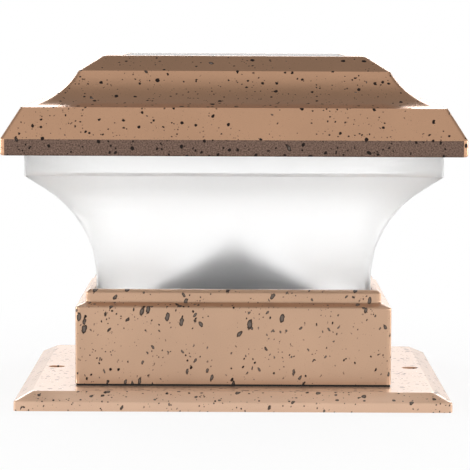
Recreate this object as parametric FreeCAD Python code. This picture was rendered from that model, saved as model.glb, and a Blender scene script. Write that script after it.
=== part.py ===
"""Solar deck post cap light: a square roof that lifts off a flared frosted lens on a box-shaped base.

Millimetres, +Z up. The origin is the centre of the bottom of the mounting flange. The front looks
along -Y. Sizes named _side are full widths of squares, _z are heights above the origin.
"""
import FreeCAD, Part
import math
import os

V = FreeCAD.Vector
UP = V(0, 0, 1)

# ---- base: box, shoulder, collar and deck --------------------------------------------------------
box_side = 107.8
box_height = 26.3
box_wall = 2.6
shoulder_width = 3.4
shoulder_height = 1.4
collar_height = 4.3
collar_chamfer = 1.1
collar_wall = 2.9
deck_thickness = 4.0
deck_depth = 8.3
boss_wall = 1.3
boss_bite = 0.5

# ---- mounting flange and what takes the post -----------------------------------------------------
flange_reach = 19.6
flange_bevel_width = 5.9
flange_height = 6.1
flange_edge_height = 3.2
flange_wall = 2.4
flange_hole_offset = 9.6
flange_hole_radius = 2.9
post_side = 89.0
post_clearance = 0.7
post_opening_clearance = 1.0
base_gasket_thickness = 0.7
base_gasket_inset = 0.4
pad_length = 60.0
pad_height = 17.0
pad_lead_in = 2.5
pad_edge = 1.0
pad_offset = 0.7

# ---- roof ----------------------------------------------------------------------------------------
roof_side = 155.0
roof_wall = 2.0
roof_overlap = 4.35
skirt_height = 5.45
bevel_width = 6.4
bevel_height = 10.45
cove_width = 18.3
cove_height = 11.9
cove_radius = 23.5
facet_width = 8.0
facet_height = 5.05
roof_boss_radius = 3.6

# ---- lens and reflector --------------------------------------------------------------------------
lens_overhang = 7.5
lens_wall = 2.0
lens_foot_clearance = 0.6
lens_gasket_thickness = 1.0
lens_gasket_inset = 0.2
lens_foot_thickness = 2.0
lens_foot_width = 9.0
lens_foot_inset = 1.0
lens_stem_height = 10.35
lens_flare_radius = 39.3
lens_flare_slope = 35.9
lens_band_height = 11.4
reflector_wall = 1.5
reflector_clearance = 0.5
reflector_rim_width = 12.0
reflector_screw_inset = 5.0
pyramid_height = 15.3
pyramid_tip_side = 0.8

# ---- solar panel ---------------------------------------------------------------------------------
panel_margin = 6.4
panel_clearance = 0.4
panel_recess = 3.2
panel_seal_thickness = 0.5
panel_seal_width = 4.0
solar_board_thickness = 1.2
solar_cell_thickness = 0.3
solar_cell_count = 4
solar_cell_gap = 1.6
solar_cell_margin = 3.0
ribbon_width = 1.5
ribbon_thickness = 0.1
panel_cover_thickness = 1.1
wire_hole_radius = 4.0

# ---- battery tray --------------------------------------------------------------------------------
rim_seal_thickness = 1.0
rim_seal_inset = 0.2
tray_thickness = 2.0
tray_clearance = 3.1
tray_rib_clearance = 0.4
tray_rib_thickness = 1.6
tray_rib_height = 5.5
tray_screw_inset = 12.4
bay_wall = 1.6
bay_y = 26.0
bay_side_gap = 0.75
bay_top_gap = 0.95
bay_bottom_gap = 2.05
battery_radius = 7.25
battery_can_length = 49.5
battery_nub_length = 1.0
battery_nub_radius = 2.6
contact_thickness = 0.4
contact_width = 9.0
contact_height = 11.0
spring_length = 5.2
spring_foot = 1.6

# ---- battery door --------------------------------------------------------------------------------
door_thickness = 1.6
door_gap = 0.2
door_overlap = 2.4
knuckle_radius = 1.6
knuckle_length = 12.0
knuckle_gap = 0.3
lug_length = 4.0
pin_radius = 0.8
pin_clearance = 0.05
tongue_thickness = 1.2
tongue_height = 2.0
tongue_length = 14.0
tongue_clearance = 0.5
pull_depth = 2.2

# ---- circuit board, light and switch -------------------------------------------------------------
board_length = 48.0
board_width = 40.0
board_thickness = 1.6
board_gap = 4.4
board_post_height = 4.0
board_post_radius = 2.8
board_post_inset = 4.0
led_radius = 4.0
led_length = 6.6
led_hole_clearance = 0.4
led_flange_radius = 4.8
led_flange_thickness = 1.0
led_cover_radius = 10.0
led_cover_wall = 1.4
led_cover_height = 6.5
led_cover_round = 3.5
switch_inset = 8.0
switch_length = 10.0
switch_width = 6.0
switch_wall = 1.0
slider_length = 3.0
slider_width = 2.6
slider_travel = 2.5
slider_reach = 2.6
slider_clearance = 0.2
slider_head = 1.0
chip_length = 5.0
chip_width = 4.0
chip_height = 1.5
chip_place = (-10.0, -22.0)
inductor_radius = 3.5
inductor_height = 5.0
inductor_place = (-10.0, -10.0)

# ---- leads ---------------------------------------------------------------------------------------
lead_diameter = 1.2
lead_bend_share = 0.45
lead_run_out = 10.5
lead_hole_clearance = 0.3
battery_lead_inset = 8.0
panel_lead_pitch = 3.0
panel_lead_y = -5.0
panel_lead_offset = 12.0
panel_lead_drop = 6.8

# ---- fasteners and rounding ----------------------------------------------------------------------
screw_radius = 1.5
screw_clearance = 0.15
thread_gap = 0.02
screw_head_radius = 2.7
screw_head_height = 1.9
screw_spare_depth = 1.0
screw_round_share = 0.45
recess_depth_share = 0.55
recess_reach_share = 0.55
recess_width_share = 0.12
base_screw_length = 16.0
reflector_screw_length = 7.5
reflector_screw_spare = 0.3
tray_screw_length = 9.0
board_screw_radius = 1.0
board_screw_length = 5.0
board_screw_head_radius = 1.9
board_screw_head_height = 1.3
roof_corner_radius = 1.4
box_corner_radius = 1.6
lens_corner_radius = 1.2
small_corner_radius = 0.5
edge_radius = 0.8
edge_share_limit = 0.4
arc_step = 4.0
level_tolerance = 1e-4

# ---- widths worked out from the sizes above ------------------------------------------------------
box_half = box_side / 2
box_inner_half = box_half - box_wall
collar_half = box_half - shoulder_width
flange_half = box_half + flange_reach
hole_half_spacing = box_half + flange_hole_offset
post_opening_side = post_side + 2 * post_opening_clearance
pad_face = post_side / 2 + post_clearance
base_screw_place = box_inner_half + boss_bite - screw_radius - boss_wall
foot_half = collar_half - collar_wall - lens_foot_clearance
foot_inner_half = foot_half - lens_wall
roof_half = roof_side / 2
ledge_half = roof_half - bevel_width
arris_half = ledge_half - cove_width
top_half = arris_half - facet_width
panel_half = top_half - panel_margin - panel_clearance
lens_half = roof_half - lens_overhang
flare_slope = math.radians(lens_flare_slope)
flare_end_half = foot_half + lens_flare_radius * (1 - math.sin(flare_slope))
reflector_half = foot_inner_half - reflector_clearance
pyramid_half = reflector_half - reflector_rim_width
reflector_screw_place = reflector_half - reflector_screw_inset
tray_half = roof_half - roof_wall - tray_clearance
tray_screw_place = tray_half - tray_screw_inset
bay_half_width = battery_radius + bay_side_gap
bay_half_length = (battery_can_length + battery_nub_length + spring_length) / 2 + contact_thickness
bay_low_y = bay_y - bay_half_width - bay_wall
hinge_y = bay_y + bay_half_width + bay_wall + door_overlap
door_half_length = bay_half_length + door_overlap
knuckle_start = door_half_length - lug_length - knuckle_gap - knuckle_length
board_y = bay_low_y - board_gap - board_length / 2
switch_y = board_y - board_length / 2 + switch_inset

# ---- heights worked out from the sizes above -----------------------------------------------------
box_bottom_z = flange_height + base_gasket_thickness
shoulder_z = box_bottom_z + box_height
collar_z = shoulder_z + shoulder_height
collar_top_z = collar_z + collar_height
deck_top_z = collar_top_z - deck_depth
deck_bottom_z = deck_top_z - deck_thickness
lens_bottom_z = deck_top_z + lens_gasket_thickness
lens_foot_z = lens_bottom_z + lens_foot_thickness
reflector_top_z = lens_foot_z + reflector_wall
flare_z = lens_bottom_z + lens_stem_height
flare_end_z = flare_z + lens_flare_radius * math.cos(flare_slope)
crease_z = flare_end_z + (lens_half - flare_end_half) * math.tan(flare_slope)
lens_top_z = crease_z + lens_band_height
tray_bottom_z = lens_top_z + rim_seal_thickness
tray_top_z = tray_bottom_z + tray_thickness
roof_bottom_z = lens_top_z - roof_overlap
bevel_z = roof_bottom_z + skirt_height
ledge_z = bevel_z + bevel_height
arris_z = ledge_z + cove_height
roof_top_z = arris_z + facet_height
panel_floor_z = roof_top_z - panel_recess
roof_ceiling_z = panel_floor_z - roof_wall
solar_board_z = panel_floor_z + panel_seal_thickness
solar_cells_z = solar_board_z + solar_board_thickness
ribbons_z = solar_cells_z + solar_cell_thickness
panel_cover_z = ribbons_z + ribbon_thickness
board_z = tray_top_z + board_post_height
board_top_z = board_z + board_thickness
battery_z = tray_bottom_z + bay_bottom_gap + battery_radius
bay_ceiling_z = battery_z + battery_radius + bay_top_gap
door_top_z = tray_bottom_z - door_gap
hinge_z = door_top_z - knuckle_radius


# ---- helpers -------------------------------------------------------------------------------------
def square(half, low_z, high_z):
    """Square block about the Z axis, from its half width."""
    return Part.makeBox(2 * half, 2 * half, high_z - low_z, V(-half, -half, low_z))


def frame(outer_half, inner_half, low_z, high_z):
    """Flat square frame about the Z axis."""
    return square(outer_half, low_z, high_z).cut(square(inner_half, low_z, high_z))


def block(low, high):
    """Block between two opposite corners."""
    return Part.makeBox(high[0] - low[0], high[1] - low[1], high[2] - low[2], V(*low))


def rod(radius, x, y, low_z, high_z):
    """Upright cylinder."""
    return Part.makeCylinder(radius, high_z - low_z, V(x, y, low_z))


def rod_x(radius, x_low, x_high, y, z):
    """Cylinder along X."""
    return Part.makeCylinder(radius, x_high - x_low, V(x_low, y, z), V(1, 0, 0))


def fuse(shapes):
    """Union of a list of solids, with the joined faces merged."""
    return shapes[0].multiFuse(shapes[1:]).removeSplitter()


def corners(half_x, half_y=None):
    """The four places (+-x, +-y)."""
    half_y = half_x if half_y is None else half_y
    return [(sx * half_x, sy * half_y) for sx in (-1, 1) for sy in (-1, 1)]


def drilled(shape, place, radius, low_z, high_z):
    """The shape with an upright hole at each of the four places (+-place, +-place)."""
    for x, y in corners(place):
        shape = shape.cut(rod(radius, x, y, low_z, high_z))
    return shape


def ring_wire(half, z, radius):
    """Outline of a square with rounded corners at one height."""
    edges = []
    for quarter in range(4):
        turn = FreeCAD.Rotation(UP, 90 * quarter)
        flat = half - radius
        points = [V(half, -flat, z), V(half, flat, z)]
        if radius > 0:
            bend = radius * math.sqrt(0.5)
            points += [V(flat + bend, flat + bend, z), V(flat, half, z)]
        points = [turn.multVec(point) for point in points]
        edges.append(Part.LineSegment(points[0], points[1]).toShape())
        if radius > 0:
            edges.append(Part.Arc(*points[1:]).toShape())
    return Part.Wire(edges)


def arc_points(start, middle, end, count):
    """Points along an arc of the profile, from start to end."""
    curve = Part.Arc(V(*start, 0), V(*middle, 0), V(*end, 0))
    span = curve.LastParameter - curve.FirstParameter
    points = [curve.value(curve.FirstParameter + span * i / count) for i in range(count + 1)]
    if points[0].distanceToPoint(V(*start, 0)) > points[-1].distanceToPoint(V(*start, 0)):
        points.reverse()
    return [(point.x, point.y) for point in points]


def tower(steps, radius=0.0):
    """Solid with a square section whose half width follows a profile up the Z axis. A step is
    (half width, z), or with an arc's middle point in front of it (half width, z, half width, z).
    A level stretch at the foot or the top adds nothing."""
    storeys = []
    for below, step in zip(steps, steps[1:]):
        start, end = below[-2:], step[-2:]
        if abs(end[1] - start[1]) < level_tolerance:
            continue
        if len(step) == 4:
            count = max(2, round(math.dist(start, end) / arc_step))
            levels = arc_points(start, step[:2], end, count)
        else:
            levels = [start, end]
        wires = [ring_wire(half, z, radius) for half, z in levels]
        storeys.append(Part.makeLoft(wires, True, len(levels) == 2))
    return fuse(storeys) if len(storeys) > 1 else storeys[0]


def shifted(steps, sideways, up):
    """The same profile moved in its plane, which turns an outside into the inside of a shell."""
    moves = (sideways, up, sideways, up)
    return [tuple(value + move for value, move in zip(step, moves)) for step in steps]


def eased(steps, radius):
    """The same profile with a small arc at each corner between two straight stretches."""
    smooth = [steps[0]]
    for below, here, above in zip(steps, steps[1:], steps[2:]):
        if len(here) == 4 or len(above) == 4:
            smooth.append(here)
            continue
        corner = V(*here, 0)
        down = V(*below[-2:], 0).sub(corner)
        up = V(*above, 0).sub(corner)
        half_turn = (math.pi - down.getAngle(up)) / 2
        longest = edge_share_limit * min(down.Length, up.Length)
        back = min(radius * math.tan(half_turn), longest)
        down.normalize()
        up.normalize()
        start, end = corner + down * back, corner + up * back
        rise = back / math.tan(half_turn) * (1 / math.cos(half_turn) - 1)
        middle = corner + (down + up).normalize() * rise
        smooth += [(start.x, start.y), (middle.x, middle.y, end.x, end.y)]
    return smooth + [steps[-1]]


def screw(x, y, seat_z, length, down=True, radius=screw_radius, head=screw_head_radius,
          height=screw_head_height):
    """Pan head screw with a cross recess. Its head sits on seat_z; down says where the shank goes."""
    toward = -1 if down else 1
    base = V(x, y, seat_z)
    shank = Part.makeCylinder(radius, length, base, V(0, 0, toward))
    cap = Part.makeCylinder(head, height, base, V(0, 0, -toward))
    top_z = seat_z - toward * height
    rim = [edge for edge in cap.Edges if max(abs(edge.BoundBox.ZMin - top_z),
                                             abs(edge.BoundBox.ZMax - top_z)) < level_tolerance]
    cap = cap.makeFillet(height * screw_round_share, rim)
    slot_depth = height * recess_depth_share
    low_z = min(top_z, top_z + toward * slot_depth)
    arm, half = head * recess_reach_share, head * recess_width_share
    cross = [block((x - a, y - b, low_z), (x + a, y + b, low_z + slot_depth))
             for a, b in ((arm, half), (half, arm))]
    return cap.fuse(shank).removeSplitter().cut(cross[0].fuse(cross[1]))


def lead_path(points):
    """Straight runs joined by tangent arcs, each as large as its two runs allow."""
    edges, radii = [], []
    here = points[0]
    for before, point, after in zip(points, points[1:], points[2:]):
        run_in, run_out = before.sub(point), after.sub(point)
        turn = math.pi - run_in.getAngle(run_out)
        back = lead_bend_share * min(run_in.Length, run_out.Length)
        radius = back / math.tan(turn / 2)
        start = point + V(run_in).normalize() * back
        end = point + V(run_out).normalize() * back
        inward = (V(run_in).normalize() + V(run_out).normalize()).normalize()
        middle = point + inward * (radius / math.cos(turn / 2) - radius)
        edges += [Part.LineSegment(here, start).toShape(), Part.Arc(start, middle, end).toShape()]
        radii.append(round(radius, 2))
        here = end
    edges.append(Part.LineSegment(here, points[-1]).toShape())
    return Part.Wire(edges), radii


def lead(name, points):
    """Insulated wire along a route."""
    points = [V(*point) for point in points]
    path, radii = lead_path(points)
    section = Part.Wire(Part.makeCircle(lead_diameter / 2, points[0], points[1].sub(points[0])))
    tube = path.makePipeShell([section], True, False)
    expected = math.pi * (lead_diameter / 2) ** 2 * path.Length
    print(name, "bend radii", radii, "volume ratio", round(tube.Volume / expected, 4))
    return tube


# ---- base ----------------------------------------------------------------------------------------
def mounting_flange():
    """Shallow cap plate with a bevelled edge, an opening for the post and two screw holes."""
    outside = [(flange_half, 0), (flange_half, flange_edge_height),
               (flange_half - flange_bevel_width, flange_height), (post_opening_side / 2, flange_height)]
    plate = tower(eased(outside, edge_radius), box_corner_radius)
    plate = plate.cut(square(flange_half - flange_wall, 0, flange_height - flange_wall))
    plate = plate.cut(square(post_opening_side / 2, 0, flange_height))
    for side in (-1, 1):
        plate = plate.cut(rod(flange_hole_radius, side * hole_half_spacing, 0, 0, flange_height))
    return drilled(plate, base_screw_place, screw_radius + screw_clearance, 0, flange_height)


def base_gasket():
    """Flat rubber frame between flange and box."""
    ring = frame(box_half - base_gasket_inset, post_opening_side / 2 + base_gasket_inset,
                 flange_height, box_bottom_z)
    return drilled(ring, base_screw_place, screw_radius + screw_clearance, flange_height, box_bottom_z)


def base_housing():
    """Box, shoulder and collar in one casting, with the deck that carries the lens."""
    outside = [(box_half, box_bottom_z), (box_half, shoulder_z),
               (collar_half, collar_z), (collar_half, collar_top_z - collar_chamfer),
               (collar_half - collar_chamfer, collar_top_z), (foot_half, collar_top_z)]
    body = tower(eased(outside, edge_radius), box_corner_radius)
    body = body.cut(square(box_inner_half, box_bottom_z, deck_bottom_z))
    body = body.cut(square(foot_half + lens_foot_clearance, deck_top_z, collar_top_z))
    body = fuse([body] + [rod(screw_radius + boss_wall, x, y, box_bottom_z, deck_bottom_z)
                          for x, y in corners(base_screw_place)])
    seat_z = flange_height - flange_wall
    body = drilled(body, base_screw_place, screw_radius + thread_gap,
                   box_bottom_z, seat_z + base_screw_length + screw_spare_depth)
    tip_z = reflector_top_z - reflector_screw_length - reflector_screw_spare
    return drilled(body, reflector_screw_place, screw_radius + thread_gap, tip_z, deck_top_z)


def post_pads():
    """Four spacers on the box's inner walls that centre a timber post."""
    low_z = box_bottom_z + pad_offset
    top_z = low_z + pad_height
    outline = [V(box_inner_half, 0, low_z), V(box_inner_half, 0, top_z), V(pad_face, 0, top_z),
               V(pad_face, 0, low_z + pad_lead_in), V(box_inner_half - pad_edge, 0, low_z)]
    pad = Part.Face(Part.makePolygon(outline + outline[:1])).extrude(V(0, pad_length, 0))
    pad.translate(V(0, -pad_length / 2, 0))
    pads = [pad.copy() for _ in range(4)]
    for turn, copy in enumerate(pads):
        copy.rotate(V(0, 0, 0), UP, 90 * turn)
    return Part.makeCompound(pads)


def base_screws():
    """From below, through the flange into the box's corner bosses."""
    return Part.makeCompound([screw(x, y, flange_height - flange_wall, base_screw_length, down=False)
                              for x, y in corners(base_screw_place)])


def foot_ring(outer_half, low_z, high_z):
    """Flat frame round the lens's foot with four screw holes."""
    ring = frame(outer_half, foot_inner_half - lens_foot_width, low_z, high_z)
    return drilled(ring, reflector_screw_place, screw_radius + screw_clearance, low_z, high_z)


def lens():
    """Flared frosted shell: stem, round flare, straight flare and an upright band."""
    half_sweep = (math.pi / 2 - flare_slope) / 2
    arc_middle = (foot_half + lens_flare_radius * (1 - math.cos(half_sweep)),
                  flare_z + lens_flare_radius * math.sin(half_sweep))
    outside = [(foot_half, lens_bottom_z), (foot_half, flare_z),
               arc_middle + (flare_end_half, flare_end_z), (lens_half, crease_z),
               (lens_half, lens_top_z)]
    inside = shifted(outside, -lens_wall, lens_wall / 2)
    shell = tower(outside, lens_corner_radius).cut(tower(inside))
    shell = shell.cut(square(foot_inner_half, lens_bottom_z, flare_z))
    foot = foot_ring(foot_half - lens_foot_inset, lens_bottom_z, lens_foot_z)
    return shell.fuse(foot).removeSplitter()


def lens_gasket():
    """Rubber frame under the lens's foot."""
    return foot_ring(foot_half - lens_gasket_inset, deck_top_z, lens_bottom_z)


def rim_seal():
    """Rubber frame on the lens's upper rim."""
    return frame(lens_half - rim_seal_inset, lens_half - lens_wall + rim_seal_inset,
                 lens_top_z, tray_bottom_z)


def reflector():
    """Hollow four-sided pyramid on a flat rim."""
    tip_half = pyramid_tip_side / 2
    peak_z = reflector_top_z + pyramid_height
    outer = tower([(pyramid_half, reflector_top_z), (tip_half, peak_z)])
    inner = tower([(pyramid_half, lens_foot_z), (tip_half, peak_z - reflector_wall)])
    solid = square(reflector_half, lens_foot_z, reflector_top_z).fuse(outer).removeSplitter().cut(inner)
    return drilled(solid, reflector_screw_place, screw_radius + screw_clearance,
                   lens_foot_z, reflector_top_z)


def reflector_screws():
    """Through reflector and lens foot into the deck."""
    return Part.makeCompound([screw(x, y, reflector_top_z, reflector_screw_length)
                              for x, y in corners(reflector_screw_place)])


# ---- roof and panel ------------------------------------------------------------------------------
def roof_profile():
    """Half profile of the roof's outside, from the skirt's foot to the flat top."""
    ledge, arris = V(ledge_half, ledge_z), V(arris_half, arris_z)
    chord = arris.sub(ledge)
    sag = cove_radius - math.sqrt(cove_radius ** 2 - (chord.Length / 2) ** 2)
    inward = V(-chord.y, chord.x).normalize()
    middle = (ledge + arris) * 0.5 + inward * sag
    return [(roof_half, roof_bottom_z), (roof_half, bevel_z), (ledge_half, ledge_z),
            (middle.x, middle.y, arris_half, arris_z), (top_half, roof_top_z)]


def roof_cap():
    """Cast roof shell with a recess for the solar panel and four screw bosses inside."""
    outside = roof_profile()
    inside = shifted(outside, -roof_wall, -roof_wall)
    foot, top = (roof_half - roof_wall, roof_bottom_z), (panel_half, roof_top_z)
    shell = tower(eased([foot] + outside + [top], edge_radius), roof_corner_radius)
    shell = shell.cut(tower(inside).common(square(roof_half, roof_bottom_z - roof_wall, roof_ceiling_z)))
    shell = shell.cut(square(panel_half + panel_clearance, panel_floor_z, roof_top_z))
    shell = shell.cut(rod(wire_hole_radius, 0, panel_lead_y, roof_ceiling_z, panel_floor_z))
    shell = fuse([shell] + [rod(roof_boss_radius, x, y, tray_top_z, ledge_z)
                            for x, y in corners(tray_screw_place)])
    return drilled(shell, tray_screw_place, screw_radius + thread_gap,
                   tray_top_z, tray_bottom_z + tray_screw_length + screw_spare_depth)


def panel_seal():
    """Foam tape frame under the solar board."""
    return frame(panel_half, panel_half - panel_seal_width, panel_floor_z, solar_board_z)


def solar_board():
    """Board that carries the cells."""
    return square(panel_half, solar_board_z, solar_cells_z)


def cell_strips():
    """Low and high Y of each strip of silicon."""
    room = 2 * (panel_half - solar_cell_margin) - (solar_cell_count - 1) * solar_cell_gap
    width = room / solar_cell_count
    starts = [-panel_half + solar_cell_margin + i * (width + solar_cell_gap)
              for i in range(solar_cell_count)]
    return [(start, start + width) for start in starts]


def solar_cells():
    """Strips of silicon, side by side on the board."""
    half = panel_half - solar_cell_margin
    return Part.makeCompound([block((-half, low, solar_cells_z), (half, high, ribbons_z))
                              for low, high in cell_strips()])


def cell_ribbons():
    """Tinned ribbons across the cells, two a strip."""
    reach = (panel_half - solar_cell_margin) / 2
    return Part.makeCompound([block((x - ribbon_width / 2, low, ribbons_z),
                                    (x + ribbon_width / 2, high, panel_cover_z))
                              for low, high in cell_strips() for x in (-reach, reach)])


def panel_cover():
    """Clear cover over the cells."""
    return tower([(panel_half, panel_cover_z), (panel_half, panel_cover_z + panel_cover_thickness)],
                 small_corner_radius)


# ---- tray, door and battery ----------------------------------------------------------------------
def hinge_lug(x):
    """Ear under the tray that holds an end of the hinge pin, from x on."""
    ear = block((x, hinge_y - knuckle_radius, hinge_z),
                (x + lug_length, hinge_y + knuckle_radius, tray_bottom_z))
    return ear.fuse(rod_x(knuckle_radius, x, x + lug_length, hinge_y, hinge_z)).removeSplitter()


def battery_tray():
    """Plate under the roof with the locating rib, battery bay, board posts and hinge ears."""
    plate = square(tray_half, tray_bottom_z, tray_top_z)
    rib_half = lens_half - lens_wall - tray_rib_clearance
    rib = frame(rib_half, rib_half - tray_rib_thickness, tray_bottom_z - tray_rib_height, tray_bottom_z)
    bay = block((-bay_half_length - bay_wall, bay_low_y, tray_bottom_z),
                (bay_half_length + bay_wall, bay_y + bay_half_width + bay_wall, bay_ceiling_z + bay_wall))
    posts = [rod(board_post_radius, x, y, tray_top_z, board_z) for x, y in board_post_places()]
    lugs = [hinge_lug(x) for x in (-door_half_length, door_half_length - lug_length)]
    tray = fuse([plate, rib, bay] + posts + lugs)
    tray = tray.cut(block((-bay_half_length, bay_low_y + bay_wall, tray_bottom_z),
                          (bay_half_length, bay_y + bay_half_width, bay_ceiling_z)))
    tray = drilled(tray, tray_screw_place, screw_radius + screw_clearance, tray_bottom_z, tray_top_z)
    for x, y in board_post_places():
        tray = tray.cut(rod(board_screw_radius + thread_gap, x, y, tray_top_z, board_z))
    tray = tray.cut(rod(led_radius + led_hole_clearance, 0, 0, tray_bottom_z, tray_top_z))
    slot_x = (slider_length + slider_travel) / 2 + slider_clearance
    slot_y = slider_width / 2 + slider_clearance
    tray = tray.cut(block((-slot_x, switch_y - slot_y, tray_bottom_z),
                          (slot_x, switch_y + slot_y, tray_top_z)))
    for x in (-bay_half_length - bay_wall, bay_half_length):
        tray = tray.cut(rod_x(lead_diameter / 2 + lead_hole_clearance, x, x + bay_wall, bay_y, battery_z))
    return tray.cut(rod_x(pin_radius + thread_gap, -door_half_length, door_half_length, hinge_y, hinge_z))


def tray_screws():
    """Through the tray into the roof's bosses."""
    return Part.makeCompound([screw(x, y, tray_bottom_z, tray_screw_length, down=False)
                              for x, y in corners(tray_screw_place)])


def hinge_pin():
    """Steel pin from ear to ear."""
    return rod_x(pin_radius, -door_half_length, door_half_length, hinge_y, hinge_z)


def battery_door():
    """Door under the bay with two hinge knuckles, a snap tongue and a finger pull."""
    low_z = door_top_z - door_thickness
    low_y = bay_low_y - door_overlap
    plate_end_y = hinge_y - knuckle_radius - knuckle_gap
    pieces = [block((-door_half_length, low_y, low_z), (door_half_length, plate_end_y, door_top_z))]
    for x in (-knuckle_start - knuckle_length, knuckle_start):
        pieces.append(rod_x(knuckle_radius, x, x + knuckle_length, hinge_y, hinge_z))
        pieces.append(block((x, plate_end_y - knuckle_gap, low_z), (x + knuckle_length, hinge_y, door_top_z)))
    half = tongue_length / 2
    tongue_y = bay_low_y + bay_wall + tongue_clearance
    pieces.append(block((-half, tongue_y, door_top_z),
                        (half, tongue_y + tongue_thickness, door_top_z + tongue_height)))
    pieces.append(block((-half, low_y, low_z - pull_depth), (half, low_y + door_thickness, door_top_z)))
    bore = rod_x(pin_radius + pin_clearance, -door_half_length, door_half_length, hinge_y, hinge_z)
    return fuse(pieces).cut(bore)


def battery_cell():
    """Rechargeable AA cell, its nub to the left."""
    nub_end = -bay_half_length + contact_thickness
    can_start = nub_end + battery_nub_length
    can = rod_x(battery_radius, can_start, can_start + battery_can_length, bay_y, battery_z)
    rims = [edge for edge in can.Edges if edge.Curve.TypeId == "Part::GeomCircle"]
    can = can.makeFillet(small_corner_radius, rims)
    return can.fuse(rod_x(battery_nub_radius, nub_end, can_start, bay_y, battery_z))


def contact_plate():
    """Flat contact behind the cell's nub."""
    low_y, low_z = bay_y - contact_width / 2, battery_z - contact_height / 2
    return block((-bay_half_length, low_y, low_z),
                 (-bay_half_length + contact_thickness, low_y + contact_width, low_z + contact_height))


def contact_spring():
    """Leaf contact bent double: it stands on the bay's end and bears on the cell's flat end."""
    back, back_face = bay_half_length, bay_half_length - contact_thickness
    front = back_face - spring_length
    front_face = front + contact_thickness
    low, high = battery_z - contact_height / 2, battery_z + contact_height / 2
    outline = [V(back, 0, low), V(back, 0, high), V(back_face, 0, high),
               V(back_face, 0, low + 2 * contact_thickness), V(front_face, 0, battery_z - spring_foot),
               V(front_face, 0, battery_z + spring_foot), V(front, 0, battery_z + spring_foot),
               V(front, 0, battery_z - spring_foot - contact_thickness), V(back_face, 0, low)]
    leaf = Part.Face(Part.makePolygon(outline + outline[:1])).extrude(V(0, contact_width, 0))
    leaf.translate(V(0, bay_y - contact_width / 2, 0))
    return leaf


# ---- circuit, light and switch -------------------------------------------------------------------
def board_post_places():
    """Centres of the board's four posts."""
    half_x, half_y = board_width / 2 - board_post_inset, board_length / 2 - board_post_inset
    return [(x, board_y + y) for x, y in corners(half_x, half_y)]


def circuit_board():
    """Board on the tray's posts."""
    half_x, half_y = board_width / 2, board_length / 2
    board = block((-half_x, board_y - half_y, board_z), (half_x, board_y + half_y, board_top_z))
    for x, y in board_post_places():
        board = board.cut(rod(board_screw_radius + screw_clearance, x, y, board_z, board_top_z))
    return board


def board_screws():
    """Through the board into its posts."""
    return Part.makeCompound([
        screw(x, y, board_top_z, board_screw_length, radius=board_screw_radius,
              head=board_screw_head_radius, height=board_screw_head_height)
        for x, y in board_post_places()])


def driver_chip():
    """Charge and drive circuit."""
    x, y = chip_place
    return block((x - chip_length / 2, y - chip_width / 2, board_top_z),
                 (x + chip_length / 2, y + chip_width / 2, board_top_z + chip_height))


def inductor():
    """Drum coil beside the chip."""
    return rod(inductor_radius, *inductor_place, board_top_z, board_top_z + inductor_height)


def led():
    """Light emitter that looks down through the tray, with a domed end."""
    dome_z = board_z - led_length
    body = rod(led_radius, 0, 0, dome_z, board_z)
    body = body.fuse(rod(led_flange_radius, 0, 0, board_z - led_flange_thickness, board_z))
    lower_half = square(led_radius, dome_z - led_radius, dome_z)
    dome = Part.makeSphere(led_radius, V(0, 0, dome_z)).common(lower_half)
    return body.fuse(dome).removeSplitter()


def cup(radius, low_z, rounding):
    """Cylinder up to the tray's underside with a rounded lower rim."""
    solid = rod(radius, 0, 0, low_z, tray_bottom_z)
    rim = [edge for edge in solid.Edges if abs(edge.BoundBox.ZMax - low_z) < level_tolerance]
    return solid.makeFillet(rounding, rim)


def led_cover():
    """Clear cup under the tray that keeps damp off the light emitter."""
    low_z = tray_bottom_z - led_cover_height
    outer = cup(led_cover_radius, low_z, led_cover_round)
    return outer.cut(cup(led_cover_radius - led_cover_wall, low_z + led_cover_wall,
                         led_cover_round - led_cover_wall))


def switch_body():
    """Housing of the slide switch, on the board's underside and open below."""
    half_x, half_y = switch_length / 2, switch_width / 2
    body = block((-half_x, switch_y - half_y, tray_top_z), (half_x, switch_y + half_y, board_z))
    room_x, room_y = half_x - switch_wall, half_y - switch_wall
    return body.cut(block((-room_x, switch_y - room_y, tray_top_z),
                          (room_x, switch_y + room_y, board_z - switch_wall)))


def switch_slider():
    """Slider with a wide head in the housing and a stem through the tray. It rests at its left end."""
    low_x = -(slider_length + slider_travel) / 2
    high_x = low_x + slider_length
    stem = block((low_x, switch_y - slider_width / 2, tray_bottom_z - slider_reach),
                 (high_x, switch_y + slider_width / 2, tray_top_z + slider_head))
    room_y = switch_width / 2 - switch_wall - slider_clearance
    head = block((low_x, switch_y - room_y, tray_top_z + slider_clearance),
                 (high_x, switch_y + room_y, board_z - switch_wall - slider_clearance))
    return stem.fuse(head).removeSplitter()


# ---- leads ---------------------------------------------------------------------------------------
def battery_lead(side, name):
    """From a battery contact out of the bay's end, round and into the circuit board's edge."""
    start_x, end_x = bay_half_length, board_width / 2
    turn_x = start_x + lead_run_out
    end_y = board_y + board_length / 2 - battery_lead_inset
    end_z = board_z + board_thickness / 2
    route = [(start_x, bay_y, battery_z), (turn_x, bay_y, battery_z), (turn_x, end_y, end_z),
             (end_x, end_y, end_z)]
    return lead(name, [(side * x, y, z) for x, y, z in route])


def panel_lead(side, name):
    """From the solar board's underside down to the circuit board."""
    x = side * panel_lead_pitch / 2
    far_y = panel_lead_y - panel_lead_offset
    return lead(name, [(x, panel_lead_y, solar_board_z), (x, panel_lead_y, solar_board_z - panel_lead_drop),
                       (x, far_y, board_top_z + panel_lead_drop), (x, far_y, board_top_z)])


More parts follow.
